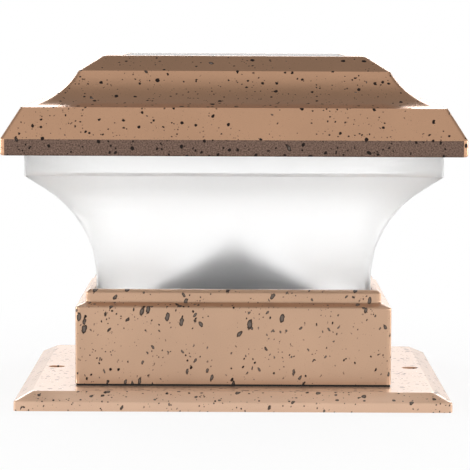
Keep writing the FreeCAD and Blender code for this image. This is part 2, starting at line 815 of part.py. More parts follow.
nodes = {
    "mounting_flange": mounting_flange(),
    "base_gasket": base_gasket(),
    "base_housing": base_housing(),
    "post_pads": post_pads(),
    "base_screws": base_screws(),
    "lens_gasket": lens_gasket(),
    "lens": lens(),
    "rim_seal": rim_seal(),
    "reflector": reflector(),
    "reflector_screws": reflector_screws(),
    "roof_cap": roof_cap(),
    "panel_seal": panel_seal(),
    "solar_board": solar_board(),
    "solar_cells": solar_cells(),
    "cell_ribbons": cell_ribbons(),
    "panel_cover": panel_cover(),
    "battery_tray": battery_tray(),
    "tray_screws": tray_screws(),
    "hinge_pin": hinge_pin(),
    "battery_door": battery_door(),
    "battery_cell": battery_cell(),
    "contact_plate": contact_plate(),
    "contact_spring": contact_spring(),
    "circuit_board": circuit_board(),
    "board_screws": board_screws(),
    "driver_chip": driver_chip(),
    "inductor": inductor(),
    "led": led(),
    "led_cover": led_cover(),
    "switch_body": switch_body(),
    "switch_slider": switch_slider(),
    "battery_lead_red": battery_lead(-1, "battery_lead_red"),
    "battery_lead_black": battery_lead(1, "battery_lead_black"),
    "panel_lead_red": panel_lead(-1, "panel_lead_red"),
    "panel_lead_black": panel_lead(1, "panel_lead_black"),
}

os.makedirs("parts", exist_ok=True)
for name, shape in nodes.items():
    shape.exportStep("parts/" + name + ".step")
    box = shape.BoundBox
    print(f"{name:20s} solids {len(shape.Solids)} valid {shape.isValid()} volume {shape.Volume:9.1f}"
          f" z {box.ZMin:7.2f} {box.ZMax:7.2f} x {box.XMin:7.2f} {box.XMax:7.2f}")
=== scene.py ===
# %% [markdown]
# # A solar post cap light, dressed for the camera
# The shapes of this lamp are already solid: a cast roof that lifts off, a frosted lens, a box that
# goes over a timber post. This lesson gives them their finishes, adds the small parts and marks that
# are too fine for the solids, and sets up a pale studio with the camera.
#
# Everything is in metres, and the lamp stands where its solids stand. So the first cell loads them,
# notes how much room they fill, and reads from them every height that a finish depends on.

# %% Load the lamp's solids
import math

import bmesh
import bpy
from mathutils import Matrix, Vector


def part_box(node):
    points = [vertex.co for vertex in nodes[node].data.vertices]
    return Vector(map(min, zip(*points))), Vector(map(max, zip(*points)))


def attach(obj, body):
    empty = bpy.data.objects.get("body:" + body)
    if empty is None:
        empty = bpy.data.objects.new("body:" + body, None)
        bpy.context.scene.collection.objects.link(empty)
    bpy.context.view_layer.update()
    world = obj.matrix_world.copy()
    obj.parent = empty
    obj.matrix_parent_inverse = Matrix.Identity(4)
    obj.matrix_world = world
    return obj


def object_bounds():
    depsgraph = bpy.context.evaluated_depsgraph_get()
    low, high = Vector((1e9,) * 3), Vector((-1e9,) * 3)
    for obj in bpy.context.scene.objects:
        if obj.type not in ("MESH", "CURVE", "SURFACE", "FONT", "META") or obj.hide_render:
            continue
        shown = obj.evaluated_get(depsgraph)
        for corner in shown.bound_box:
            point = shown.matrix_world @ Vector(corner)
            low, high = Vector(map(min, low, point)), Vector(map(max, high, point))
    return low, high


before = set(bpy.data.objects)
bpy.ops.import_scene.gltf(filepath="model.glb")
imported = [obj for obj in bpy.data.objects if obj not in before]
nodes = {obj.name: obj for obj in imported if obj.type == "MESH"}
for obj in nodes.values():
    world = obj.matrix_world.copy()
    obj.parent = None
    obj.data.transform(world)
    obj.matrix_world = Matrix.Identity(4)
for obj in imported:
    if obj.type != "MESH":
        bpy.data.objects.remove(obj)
solids_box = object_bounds()

MM = 0.001
sides = [round(side / MM, 1) for side in solids_box[1] - solids_box[0]]
print("loaded", len(nodes), "pieces,", sides, "mm")

# %% [markdown]
# ## Node trees written as sums
# A finish is a small program of shader nodes. Linking them by hand takes a page for one formula, so
# three classes do the wiring. `Field` is one output socket, a value that varies over the surface, and
# arithmetic on it adds Math nodes. `Graph` is a node tree: its `node` method makes any other node from
# its type, its settings and what goes into its sockets. A colour never goes through a Math node,
# because that would turn it grey, so colours are mixed by `Graph.mix`. `Finish` is a material's graph.

# %% Classes that wire nodes
class Field:
    """A value that varies over a surface: one output socket of a graph's nodes."""

    def __init__(self, graph, socket):
        self.graph = graph
        self.socket = socket

    def math(self, operation, *values):
        return self.graph.node("Math", {"operation": operation}, dict(enumerate(values)))

    def __add__(self, other):
        return self.math("ADD", self, other)

    def __sub__(self, other):
        return self.math("SUBTRACT", self, other)

    def __rsub__(self, other):
        return self.math("SUBTRACT", other, self)

    def __mul__(self, other):
        return self.math("MULTIPLY", self, other)

    def __truediv__(self, other):
        return self.math("DIVIDE", self, other)

    def __pow__(self, other):
        return self.math("POWER", self, other)

    def __lt__(self, other):
        return self.math("LESS_THAN", self, other)

    def __gt__(self, other):
        return self.math("GREATER_THAN", self, other)

    __radd__ = __add__
    __rmul__ = __mul__

    def fract(self):
        return self.math("FRACT", self)

    def clamped(self):
        return self.graph.node("Clamp", {}, {"Value": self})

    def larger(self, other):
        return self.math("MAXIMUM", self, other)

    def smaller(self, other):
        return self.math("MINIMUM", self, other)

    def absolute(self):
        return self.math("ABSOLUTE", self)

    def other(self, name):
        """Another output of the same node."""
        return Field(self.graph, self.socket.node.outputs[name])


class Graph:
    """A node tree that is filled by one method."""

    def __init__(self, tree):
        self.tree = tree

    def node(self, kind, settings=None, sockets=None, output=0):
        made = self.tree.nodes.new("ShaderNode" + kind)
        for name, value in (settings or {}).items():
            setattr(made, name, value)
        for name, value in (sockets or {}).items():
            self.feed(made.inputs[name], value)
        return Field(self, made.outputs[output])

    def feed(self, socket, value):
        if isinstance(value, Field):
            self.tree.links.new(value.socket, socket)
        elif socket.type == "RGBA":
            socket.default_value = (*value, 1)
        else:
            socket.default_value = value

    def mix(self, amount, first, second):
        """Colour between two others; amount 0 is the first."""
        return self.node("Mix", {"data_type": "RGBA"}, {0: amount, 6: first, 7: second}, output=2)


class Finish(Graph):
    """A material whose constant sockets are set by name and whose varying ones are fed by `show`."""

    def __init__(self, name, colour, **sockets):
        self.material = bpy.data.materials.new(name)
        self.material.use_nodes = True
        super().__init__(self.material.node_tree)
        self.shader = self.tree.nodes["Principled BSDF"]
        self.shader.inputs["Base Color"].default_value = (*colour, 1)
        for socket, value in sockets.items():
            self.shader.inputs[socket.replace("_", " ")].default_value = value

    def show(self, **sockets):
        """Feeds what varies over the surface to the shader."""
        for name, value in sockets.items():
            self.feed(self.shader.inputs[name.replace("_", " ")], value)

    def place(self, scale=(1, 1, 1)):
        """Where a point of the surface is, in millimetres of the lamp's own frame."""
        here = self.node("TexCoord", output="Object")
        return self.node("Mapping", {}, {"Vector": here, "Scale": [value / MM for value in scale]})

    def noise(self, place, grain, detail=2.0, roughness=0.5):
        """Soft random value about 0.5, with lumps of about the given size in millimetres."""
        sockets = {"Vector": place, "Scale": 1 / grain, "Detail": detail, "Roughness": roughness}
        return self.node("TexNoise", {}, sockets)

    def bump(self, height, depth):
        """Surface relief from a height field of 0 to 1 that stands the given millimetres high."""
        return self.node("Bump", {}, {"Height": height, "Strength": 1.0, "Distance": depth * MM})


def dress(finish, *names):
    """Gives a finish to nodes of the lamp."""
    for name in names:
        slots = nodes[name].data.materials
        slots.clear()
        slots.append(finish.material)
    print(finish.material.name, "on", ", ".join(names))


# %% [markdown]
# ## The speckled copper paint
# The castings are painted in two steps: a warm metallic copper, then a brush or spray flicks dark paint
# over it. Droplets that hit the box are long ovals with a grey middle and a dark rim; the roof caught a
# finer mist that sits in clusters. An image would repeat and smear round the edges. Instead a
# Voronoi pattern in three dimensions puts one point in each cell of space, a random part of those points
# become round drops, and the surface cuts through them. So drops run over edges, as real ones do, and
# no two sides are alike. `LEAST_DROP` is the smallest drop as a share of the widest, and a power of the
# random draw makes small ones the more common.

# %% Drops of dark paint
def drops(finish, place, cell, widest, share, crowd=None):
    """Mask of the drops, and how far inside a drop a point lies, from 0 at its rim to 1."""
    cells = finish.node("TexVoronoi", {}, {"Vector": place, "Scale": 1 / cell})
    draw = finish.node("SeparateColor", {}, {"Color": cells.other("Color")})
    size = LEAST_DROP + (1 - LEAST_DROP) * draw.other("Green") ** MORE_SMALL
    radius = size * (widest / cell)
    inside = 1 - cells / radius
    limit = share if crowd is None else crowd * share
    kept = draw.other("Red") < limit
    edge = (inside * size * (widest / DROP_EDGE)).clamped()
    return edge * kept, inside


LEAST_DROP = 0.3
MORE_SMALL = 2.0
DROP_EDGE = 0.16
DROP_RIM_COLOUR = (0.016, 0.010, 0.008)
DROP_MIDDLE_COLOUR = (0.155, 0.122, 0.102)


# %% [markdown]
# The paint itself varies too: broad clouds where the flake lies thicker, and a fine sparkle of single
# flakes. Both are small changes of colour and roughness. A clear coat on top would mirror the white room
# at a low angle, as the top of the mounting plate does in daylight.

# %% The paint
FLAKE_GRAIN = 0.35
CLOUD_GRAIN = 28.0
CLOUD_DARK, CLOUD_LIGHT = 0.88, 1.08
CROWD_GRAIN = 11.0
CROWD_START, CROWD_STEEPNESS = 0.40, 7.0
ORANGE_PEEL_GRAIN = 1.6
ORANGE_PEEL_DEPTH = 0.010
DROP_HEIGHT = 0.05
ROUND_DROP = 1.45
WOBBLE_GRAIN = 1.1
WOBBLE = 0.7
LAYER_STEPS = (31.7, 17.3, 7.9)


def copper_paint(name, colour, recipe, coat, metal=0.85, roughness=0.30, skirt_top=None):
    """Metallic paint with drops. recipe lists (cell, widest, share, stretch, lean, crowded)."""
    finish = Finish(name, colour, Coat_Roughness=0.07, Coat_IOR=1.6, Specular_IOR_Level=0.12)
    here = finish.place()
    cloud = finish.noise(here, CLOUD_GRAIN, 3.0)
    flake = finish.noise(here, FLAKE_GRAIN, 1.0)
    darker = tuple(value * CLOUD_DARK for value in colour)
    lighter = tuple(min(1.0, value * CLOUD_LIGHT) for value in colour)
    paint = finish.mix((cloud - 0.5) * 1.2 + flake * 0.6 + 0.2, darker, lighter)
    gloss = roughness - 0.05 + flake * 0.10
    shine = metal
    height = finish.noise(here, ORANGE_PEEL_GRAIN, 1.0) * (ORANGE_PEEL_DEPTH / DROP_HEIGHT)
    if skirt_top is not None:
        band = skirt_mask(finish, here, skirt_top)
        sand = finish.noise(here, SAND_GRAIN, 3.0, 0.7)
        sandy = finish.mix(((sand - 0.5) * 2.4 + 0.5).clamped(), SKIRT_DARK, SKIRT_LIGHT)
        paint = finish.mix(band, paint, sandy)
        gloss = gloss + band * SKIRT_ROUGHER
        shine = metal - band * SKIRT_DULLER
        coat = coat - band * coat
        height = height + band * sand * (SAND_DEPTH / DROP_HEIGHT)
    crowd = ((finish.noise(here, CROWD_GRAIN, 1.0) - CROWD_START) * CROWD_STEEPNESS).clamped()
    wobble = finish.node("TexNoise", {}, {"Vector": here, "Scale": 1 / WOBBLE_GRAIN, "Detail": 1.0})
    mask = None
    for cell, widest, share, stretch, lean, crowded in recipe:
        spot = leaning_place(finish, here, wobble.other("Color"), stretch, lean, cell)
        more, inside = drops(finish, spot, cell, widest, share, crowd if crowded else None)
        drop = DROP_RIM_COLOUR
        if stretch > ROUND_DROP:
            drop = finish.mix((inside * 2.6 - 0.5).clamped(), DROP_RIM_COLOUR, DROP_MIDDLE_COLOUR)
        paint = finish.mix(more, paint, drop)
        mask = more if mask is None else mask.larger(more)
    finish.show(Base_Color=paint, Roughness=gloss + mask * 0.1, Metallic=shine * (1 - mask),
                Coat_Weight=coat * (1 - mask), Normal=finish.bump(height + mask, DROP_HEIGHT))
    return finish


def leaning_place(finish, here, wobble, stretch, lean, seed):
    """Place with heights squeezed, so that drops grow tall, and sheared, so that they lean."""
    shift = tuple(seed * step for step in LAYER_STEPS)
    wobble = finish.node("VectorMath", {"operation": "MULTIPLY_ADD"},
                         {0: wobble, 1: (WOBBLE,) * 3, 2: shift})
    x = finish.node("SeparateXYZ", {}, {"Vector": here})
    z = x.other("Z")
    leant = finish.node("CombineXYZ", {}, {"X": x - z * lean, "Y": x.other("Y") - z * lean,
                                           "Z": z * (1 / stretch)})
    return finish.node("VectorMath", {"operation": "ADD"}, {0: leant, 1: wobble})


# %% [markdown]
# The roof's lowest 5.45 mm are sandy and darker, as the mould's parting face leaves them, though the
# rounded upright corners come out bright. Away from a corner, the smaller of the two distances from the
# middle is well short of the roof's half side, and that tells the corners from the rest.

# %% The sandy skirt
SKIRT_HEIGHT = 5.45
SKIRT_CORNER = 1.5
SKIRT_ROUGHER, SKIRT_DULLER = 0.25, 0.35
SKIRT_RAGGED = 0.4
SAND_GRAIN = 0.5
SAND_DEPTH = 0.05
SKIRT_DARK = (0.055, 0.033, 0.024)
SKIRT_LIGHT = (0.27, 0.175, 0.135)
roof_low, roof_high = (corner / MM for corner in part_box("roof_cap"))


def skirt_mask(finish, here, top):
    x = finish.node("SeparateXYZ", {}, {"Vector": here})
    ragged = finish.noise(here, SAND_GRAIN, 1.0)
    low = x.other("Z") < (top - SKIRT_RAGGED / 2 + ragged * SKIRT_RAGGED)
    nearer = x.absolute().smaller(x.other("Y").absolute())
    return low * (nearer < (roof_high.x - SKIRT_CORNER))


# %% [markdown]
# Three castings, three recipes. The roof has small round dots in clusters and a few longer streaks. The
# box and the mounting plate have the large leaning ovals.

# %% Paint the castings
ROOF_DROPS = [(1.2, 0.44, 0.80, 1.0, 0.0, True), (1.8, 0.66, 0.75, 1.1, 0.2, True),
              (2.7, 0.90, 0.60, 1.2, 0.0, False), (6.0, 1.1, 0.50, 2.2, -0.5, False)]
BOX_DROPS = [(1.3, 0.40, 0.80, 1.1, 0.1, True), (1.8, 0.60, 0.65, 1.3, 0.1, True),
             (2.4, 0.80, 0.30, 1.7, -0.35, False), (2.7, 0.90, 0.60, 1.8, 0.5, False),
             (3.1, 1.0, 0.75, 2.1, 0.12, False)]
PLATE_DROPS = [(1.3, 0.40, 0.85, 1.0, 0.1, True), (1.8, 0.60, 0.75, 1.3, 0.1, True),
               (2.6, 0.90, 0.65, 1.5, 0.3, False), (3.2, 1.0, 0.75, 1.6, 0.1, False)]
ROOF_COPPER = (0.62, 0.355, 0.215)
BOX_COPPER = (0.56, 0.355, 0.235)
PLATE_COPPER = (0.70, 0.46, 0.32)
skirt_top = roof_low.z + SKIRT_HEIGHT
dress(copper_paint("roof_paint", ROOF_COPPER, ROOF_DROPS, coat=0.3, skirt_top=skirt_top), "roof_cap")
dress(copper_paint("box_paint", BOX_COPPER, BOX_DROPS, coat=0.35), "base_housing")
dress(copper_paint("plate_paint", PLATE_COPPER, PLATE_DROPS, coat=0.6, metal=0.3), "mounting_flange")

# %% [markdown]
# ## The frosted lens and the mirror under it
# The lens is moulded clear and blasted on the inside. Light passes, but its direction is scattered, so
# the bright pyramid below shows only as a soft grey shape. That is transmission with high roughness.

# %% Lens, reflector and clear covers
PYRAMID_HEIGHT = 15.3 * MM
FILM_START = 0.2
RIM_WHITE = (0.87, 0.87, 0.87)
# Pyramid metal colours: painted shade at its foot, painted reflection toward its tip.
FOOT_PAINTED_SHADE = (0.07, 0.07, 0.075)
TIP_PAINTED_REFLECTION = (0.42, 0.42, 0.44)


def frosted():
    finish = Finish("frosted_lens", (1.0, 1.0, 1.0), Transmission_Weight=0.96, IOR=1.22,
                    Specular_IOR_Level=0.5)
    here = finish.place()
    haze = finish.noise(here, 0.4, 2.0)
    flow = finish.noise(here, 22.0, 2.0)
    finish.show(Roughness=0.44 + (flow - 0.5) * 0.06 + haze * 0.08, Normal=finish.bump(haze, 0.01))
    return finish


def mirror():
    """White rim, and above it the pyramid, whose metal is painted darker at its foot and lighter toward its
    tip: painted shade and painted reflection.
    """
    finish = Finish("mirror_plastic", (0.2, 0.2, 0.21))
    here = finish.place()
    rim_top = (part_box("reflector")[1].z - PYRAMID_HEIGHT) / MM
    up = finish.node("SeparateXYZ", {}, {"Vector": here}).other("Z") - rim_top
    film = up > FILM_START
    ripple = finish.noise(here, 6.0, 2.0)
    smear = finish.noise(here, 0.7, 3.0)
    # Painted light: height up the pyramid, with a smear, sets how far the colour goes from painted shade to
    # painted reflection.
    painted_light_ramp = up / (PYRAMID_HEIGHT / MM) + (smear - 0.5) * 0.2
    metal = finish.mix(painted_light_ramp, FOOT_PAINTED_SHADE, TIP_PAINTED_REFLECTION)
    finish.show(Base_Color=finish.mix(film, RIM_WHITE, metal), Metallic=film,
                Roughness=0.34 - film * 0.16 + smear * 0.12, Normal=finish.bump(ripple, 0.05))
    return finish


def clear(name, roughness):
    finish = Finish(name, (0.96, 0.98, 1.0), Transmission_Weight=1.0, IOR=1.49)
    dust = finish.noise(finish.place(), 1.1, 4.0, 0.7)
    finish.show(Roughness=roughness + ((dust - 0.55) * 1.2).clamped())
    return finish


dress(frosted(), "lens")
dress(mirror(), "reflector")
dress(clear("clear_cover", 0.03), "panel_cover")
dress(clear("clear_cup", 0.06), "led_cover")


# %% [markdown]
# ## Rubber, plastics and metals
# These finishes recur on many lamps. Each has a base colour with slight clouds, a grain and a relief of
# its own. One function makes all the moulded ones, since only their numbers differ.

# %% Moulded parts and rubber
def moulded(name, colour, roughness, grain, depth, clouds=0.12, **sockets):
    finish = Finish(name, colour, **sockets)
    here = finish.place()
    cloud = finish.noise(here, 9.0, 3.0)
    skin = finish.noise(here, grain, 2.0)
    low = tuple(value * (1 - clouds) for value in colour)
    high = tuple(min(1.0, value * (1 + clouds)) for value in colour)
    finish.show(Base_Color=finish.mix(cloud, low, high), Roughness=roughness - 0.06 + skin * 0.12,
                Normal=finish.bump(skin, depth))
    return finish


dress(moulded("black_rubber", (0.012, 0.011, 0.010), 0.75, 0.5, 0.02), "base_gasket")
dress(moulded("grey_rubber", (0.42, 0.43, 0.44), 0.7, 0.5, 0.02), "lens_gasket", "rim_seal")
dress(moulded("foam_tape", (0.05, 0.05, 0.05), 0.9, 0.8, 0.15), "panel_seal")
dress(moulded("post_plastic", (0.07, 0.07, 0.075), 0.5, 0.6, 0.03), "post_pads")
white = moulded("white_plastic", (0.86, 0.86, 0.84), 0.42, 0.45, 0.015, 0.03)
dress(white, "battery_tray", "battery_door")
chip_black = moulded("chip_black", (0.035, 0.035, 0.038), 0.45, 0.15, 0.01)
dress(chip_black, "driver_chip")
dress(moulded("black_plastic", (0.03, 0.03, 0.033), 0.35, 0.3, 0.01), "switch_slider")
dress(moulded("red_wire", (0.55, 0.03, 0.02), 0.32, 0.6, 0.005), "battery_lead_red", "panel_lead_red")
dress(moulded("black_wire", (0.02, 0.02, 0.02), 0.32, 0.6, 0.005), "battery_lead_black", "panel_lead_black")
dress(moulded("led_resin", (0.93, 0.90, 0.72), 0.12, 2.0, 0.01, 0.02, Transmission_Weight=0.6), "led")


# %% Plated and tinned metal
def plated(name, colour, roughness, grain, streak=(1, 1, 1)):
    """Thin bright plating over steel, with clouds of zinc and fine drawing marks."""
    finish = Finish(name, colour, Metallic=1.0)
    marks = finish.noise(finish.place(streak), grain, 3.0, 0.6)
    cloud = finish.noise(finish.place(), 3.5, 2.0)
    low = tuple(value * 0.8 for value in colour)
    finish.show(Base_Color=finish.mix(cloud, low, colour), Roughness=roughness - 0.08 + marks * 0.2,
                Normal=finish.bump(marks, 0.008))
    return finish


dress(plated("zinc_steel", (0.60, 0.61, 0.63), 0.34, 0.25), "base_screws", "reflector_screws",
      "tray_screws", "board_screws", "hinge_pin")
dress(plated("spring_steel", (0.72, 0.71, 0.68), 0.26, 0.2, (1, 1, 0.1)), "contact_plate", "contact_spring")
tin = plated("tinned_copper", (0.76, 0.76, 0.77), 0.3, 0.2, (1, 0.1, 1))
dress(tin, "cell_ribbons")
dress(plated("switch_metal", (0.62, 0.62, 0.62), 0.36, 0.3), "switch_body")


# %% [markdown]
# ## Solar cells, board and battery
# The panel looks dark blue with a shimmer, because silicon grows in crystals that each face another way.
# A coarse Voronoi pattern gives every crystal its own blue. Thin printed fingers run across at a steady
# pitch: the fraction of a coordinate divided by the pitch is a saw tooth, and its low part is the finger.

# %% Silicon with its fingers
CRYSTAL = 6.5
FINGER_PITCH = 1.8
FINGER_WIDTH = 0.14


def silicon():
    finish = Finish("silicon", (0.03, 0.05, 0.14), Coat_Weight=0.6, Coat_Roughness=0.08)
    here = finish.place()
    crystals = finish.node("TexVoronoi", {}, {"Vector": here, "Scale": 1 / CRYSTAL})
    draw = finish.node("SeparateColor", {}, {"Color": crystals.other("Color")})
    blue = finish.mix(draw, (0.012, 0.022, 0.075), (0.045, 0.075, 0.21))
    across = finish.node("SeparateXYZ", {}, {"Vector": here})
    finger = (across / FINGER_PITCH).fract() < (FINGER_WIDTH / FINGER_PITCH)
    finish.show(Base_Color=finish.mix(finger, blue, (0.62, 0.62, 0.63)),
                Roughness=0.24 + draw.other("Green") * 0.14, Metallic=finger * 0.9)
    return finish


dress(silicon(), "solar_cells")
dress(moulded("solar_board", (0.045, 0.05, 0.065), 0.5, 0.4, 0.02), "solar_board")


# %% [markdown]
# The circuit board is green lacquer over copper tracks, which stand up a hair and look lighter. The
# mortar lines of a brick pattern give tracks of an even width.

# %% Circuit board and coil
COIL_RIM = 0.8
COIL_WIRE = 0.45


def circuit_green():
    finish = Finish("circuit_green", (0.02, 0.16, 0.06), Coat_Weight=0.4, Coat_Roughness=0.2)
    here = finish.place()
    bricks = finish.node("TexBrick", {"offset": 0.37, "squash": 0.7},
                         {"Vector": here, "Scale": 1.0, "Mortar Size": 0.35, "Brick Width": 7.0,
                          "Row Height": 4.4, "Color1": (0, 0, 0), "Color2": (0, 0, 0), "Mortar": (1, 1, 1)})
    weave = finish.noise(here, 0.4, 2.0)
    track = bricks.other("Fac")
    finish.show(Base_Color=finish.mix(track, (0.012, 0.13, 0.045), (0.04, 0.27, 0.10)),
                Roughness=0.34 + weave * 0.1, Normal=finish.bump(track, 0.035))
    return finish


def wound_coil():
    """Lacquered copper turns round a dark ferrite drum, one wire's width apart."""
    finish = Finish("ferrite", (0.1, 0.1, 0.11), Coat_Weight=0.3)
    here = finish.place()
    split = finish.node("SeparateXYZ", {}, {"Vector": here})
    low, high = (corner.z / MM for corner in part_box("inductor"))
    z = split.other("Z")
    turns = (z > (low + COIL_RIM)) * (z < (high - COIL_RIM))
    wire = (z / COIL_WIRE).fract()
    bulge = wire * (1 - wire) * 4
    finish.show(Base_Color=finish.mix(turns, (0.05, 0.05, 0.055), (0.45, 0.16, 0.05)),
                Metallic=turns * 0.8, Roughness=0.55 - turns * 0.3, Normal=finish.bump(bulge * turns, 0.1))
    return finish


dress(circuit_green(), "circuit_board")
dress(wound_coil(), "inductor")

# %% [markdown]
# A rechargeable cell wears a shrink sleeve. Its colours change along its length: a green body, a paler
# band near the nub and bare bright ends, so the finish reads the coordinate along the cell.

# %% The cell in its sleeve
sleeve_low, sleeve_high = (corner.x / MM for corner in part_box("battery_cell"))
NUB_LENGTH = 1.0
SLEEVE_LIP = 0.5
BAND_START = 9.0
BAND_WIDTH = 7.0


def battery_sleeve():
    finish = Finish("battery_sleeve", (0.05, 0.22, 0.08), Coat_Weight=0.5, Coat_Roughness=0.12)
    here = finish.place()
    along = finish.node("SeparateXYZ", {}, {"Vector": here}) - sleeve_low
    length = sleeve_high - sleeve_low
    bare = (along < (NUB_LENGTH + SLEEVE_LIP)).larger(along > (length - SLEEVE_LIP))
    band = (along > BAND_START) * (along < (BAND_START + BAND_WIDTH))
    cloud = finish.noise(here, 5.0, 2.0)
    green = finish.mix(cloud, (0.03, 0.17, 0.06), (0.05, 0.24, 0.09))
    sleeve = finish.mix(band, green, (0.62, 0.64, 0.62))
    wrinkle = finish.noise(finish.place((1, 0.25, 0.25)), 1.2, 2.0)
    finish.show(Base_Color=finish.mix(bare, sleeve, (0.70, 0.70, 0.70)), Metallic=bare,
                Roughness=0.26 + bare * 0.08, Normal=finish.bump(wrinkle, 0.02))
    return finish


dress(battery_sleeve(), "battery_cell")

# %% [markdown]
# ## Small parts built as meshes
# Some things are too fine for the solids but show when the roof is off: grip ridges on the battery door,
# plus and minus marks beside the bay, solder on the board, chip legs and the little surface-mounted
# parts. They are built with bmesh from boxes and domes, and each one rides on the body that carries it.

# %% Mesh helpers
def add_block(mesh, low, high):
    """Box between two corners, in metres."""
    low, high = Vector(low), Vector(high)
    made = bmesh.ops.create_cube(mesh, size=1.0)
    scale = Matrix.Diagonal((*(high - low), 1))
    bmesh.ops.transform(mesh, matrix=Matrix.Translation((low + high) / 2) @ scale, verts=made["verts"])


def add_dome(mesh, centre, radius, height):
    """Upper half of a ball, squashed to a height."""
    made = bmesh.ops.create_uvsphere(mesh, u_segments=20, v_segments=12, radius=1.0)
    sunk = Matrix.Translation(centre) @ Matrix.Diagonal((radius, radius, height, 1))
    bmesh.ops.transform(mesh, matrix=sunk, verts=made["verts"])
    for vertex in made["verts"]:
        vertex.co.z = max(vertex.co.z, centre[2])


def finished(name, mesh, finish, body, bevel=0.0):
    """Turns a bmesh into a piece that rides on a body."""
    data = bpy.data.meshes.new(name)
    mesh.to_mesh(data)
    mesh.free()
    piece = bpy.data.objects.new(name, data)
    bpy.context.scene.collection.objects.link(piece)
    data.materials.append(finish.material)
    if bevel:
        rounding = piece.modifiers.new("rounding", "BEVEL")
        rounding.width = bevel
        rounding.segments = 2
    for face in data.polygons:
        face.use_smooth = True
    data.set_sharp_from_angle(angle=math.radians(40))
    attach(piece, body)
    print(name, "has", len(data.polygons), "faces and rides on", body)


# %% [markdown]
# The battery door is opened with a thumb, so its underside has raised ribs and an arrow head that
# points the way. The tray carries a plus at the nub's end of the bay and a minus at the other. All are
# moulded in one with their part: each form starts a little inside the surface that it grows from.

# %% Ribs, arrow and polarity marks
RELIEF = 0.5 * MM
SUNK = 0.15 * MM
DOOR_GAP = 0.2 * MM
DOOR_THICKNESS = 1.6 * MM
RIB_COUNT = 5
FIRST_RIB, RIB_PITCH = 4.0 * MM, 1.9 * MM
RIB_HALF_LENGTH, RIB_HALF_WIDTH = 11 * MM, 0.45 * MM
ARROW_OFFSET, ARROW_LENGTH, ARROW_HALF_WIDTH = 5 * MM, 6 * MM, 4 * MM
door_low, door_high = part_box("battery_door")
tray_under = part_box("rim_seal")[1].z
door_under = tray_under - DOOR_GAP - DOOR_THICKNESS
cell_low, cell_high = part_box("battery_cell")
cell_middle = (cell_low + cell_high) / 2


def thumb_ribs():
    mesh = bmesh.new()
    for index in range(RIB_COUNT):
        y = door_low.y + FIRST_RIB + RIB_PITCH * index
        add_block(mesh, (-RIB_HALF_LENGTH, y - RIB_HALF_WIDTH, door_under - RELIEF),
                  (RIB_HALF_LENGTH, y + RIB_HALF_WIDTH, door_under + SUNK))
    finished("thumb_ribs", mesh, white, "battery_door", 0.2 * MM)


def open_arrow():
    """Raised arrow head on the door that points at the edge to lift."""
    mesh = bmesh.new()
    tip = Vector((0, cell_middle.y - ARROW_OFFSET, 0))
    outline = [tip, tip + Vector((ARROW_HALF_WIDTH, ARROW_LENGTH, 0)),
               tip + Vector((-ARROW_HALF_WIDTH, ARROW_LENGTH, 0))]
    low = [mesh.verts.new((point.x, point.y, door_under - RELIEF)) for point in outline]
    high = [mesh.verts.new((point.x, point.y, door_under + SUNK)) for point in outline]
    mesh.faces.new(low)
    mesh.faces.new(reversed(high))
    for here in range(3):
        after = (here + 1) % 3
        mesh.faces.new((low[after], low[here], high[here], high[after]))
    bmesh.ops.recalc_face_normals(mesh, faces=mesh.faces)
    finished("open_arrow", mesh, white, "battery_door", 0.15 * MM)


def polarity_mark(name, x, bars):
    """Raised bars on the tray: one bar is a minus, two crossed ones a plus."""
    mesh = bmesh.new()
    y = cell_middle.y
    for half_x, half_y in bars:
        add_block(mesh, (x - half_x, y - half_y, tray_under - RELIEF),
                  (x + half_x, y + half_y, tray_under + SUNK))
    finished(name, mesh, white, "roof")


BAR_LONG = 2.2 * MM
BAR_THIN = 0.5 * MM
MARK_GAP = 4.5 * MM
thumb_ribs()
open_arrow()
flat_bar, upright_bar = (BAR_LONG, BAR_THIN), (BAR_THIN, BAR_LONG)
polarity_mark("plus_mark", door_low.x - MARK_GAP, [flat_bar, upright_bar])
polarity_mark("minus_mark", door_high.x + MARK_GAP, [flat_bar])


# %% [markdown]
# The board is soldered by hand where the leads come in, and by machine elsewhere. Solder wets the pad
# and rises to a blunt cone, so a low dome stands for each joint. The chip's legs and the capped ends of
# the small resistors are tinned blocks at an even pitch.

# %% Solder, legs and small parts on the board
board_low, board_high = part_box("circuit_board")
SOLDER_RADIUS = 1.25 * MM
SOLDER_HEIGHT = 0.7 * MM
SOLDER_INSET = 1.4 * MM
LEAD_RADIUS = 0.6 * MM
LEG_COUNT = 4
FIRST_LEG, LEG_PITCH = 0.6 * MM, 1.27 * MM
LEG_REACH, LEG_HALF_WIDTH, LEG_HEIGHT = 0.9 * MM, 0.2 * MM, 0.5 * MM
RESISTOR_COUNT = 5
FIRST_RESISTOR, RESISTOR_PITCH = 2.0 * MM, 3.2 * MM
RESISTOR_INSET = 7 * MM
RESISTOR_HALF_LENGTH, RESISTOR_HALF_WIDTH, RESISTOR_HEIGHT = 0.6 * MM, 0.62 * MM, 0.55 * MM
RESISTOR_END = 0.35 * MM


def solder_joints():
    mesh = bmesh.new()
    panel_leads = [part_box(name) for name in ("panel_lead_red", "panel_lead_black")]
    places = [((low.x + high.x) / 2, low.y + (high.x - low.x) / 2) for low, high in panel_leads]
    battery_leads = [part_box(name) for name in ("battery_lead_red", "battery_lead_black")]
    y = battery_leads[0][0].y + LEAD_RADIUS
    places += [(board_low.x + SOLDER_INSET, y), (board_high.x - SOLDER_INSET, y)]
    for x, y in places:
        add_dome(mesh, (x, y, board_high.z), SOLDER_RADIUS, SOLDER_HEIGHT)
    finished("solder_joints", mesh, tin, "roof")


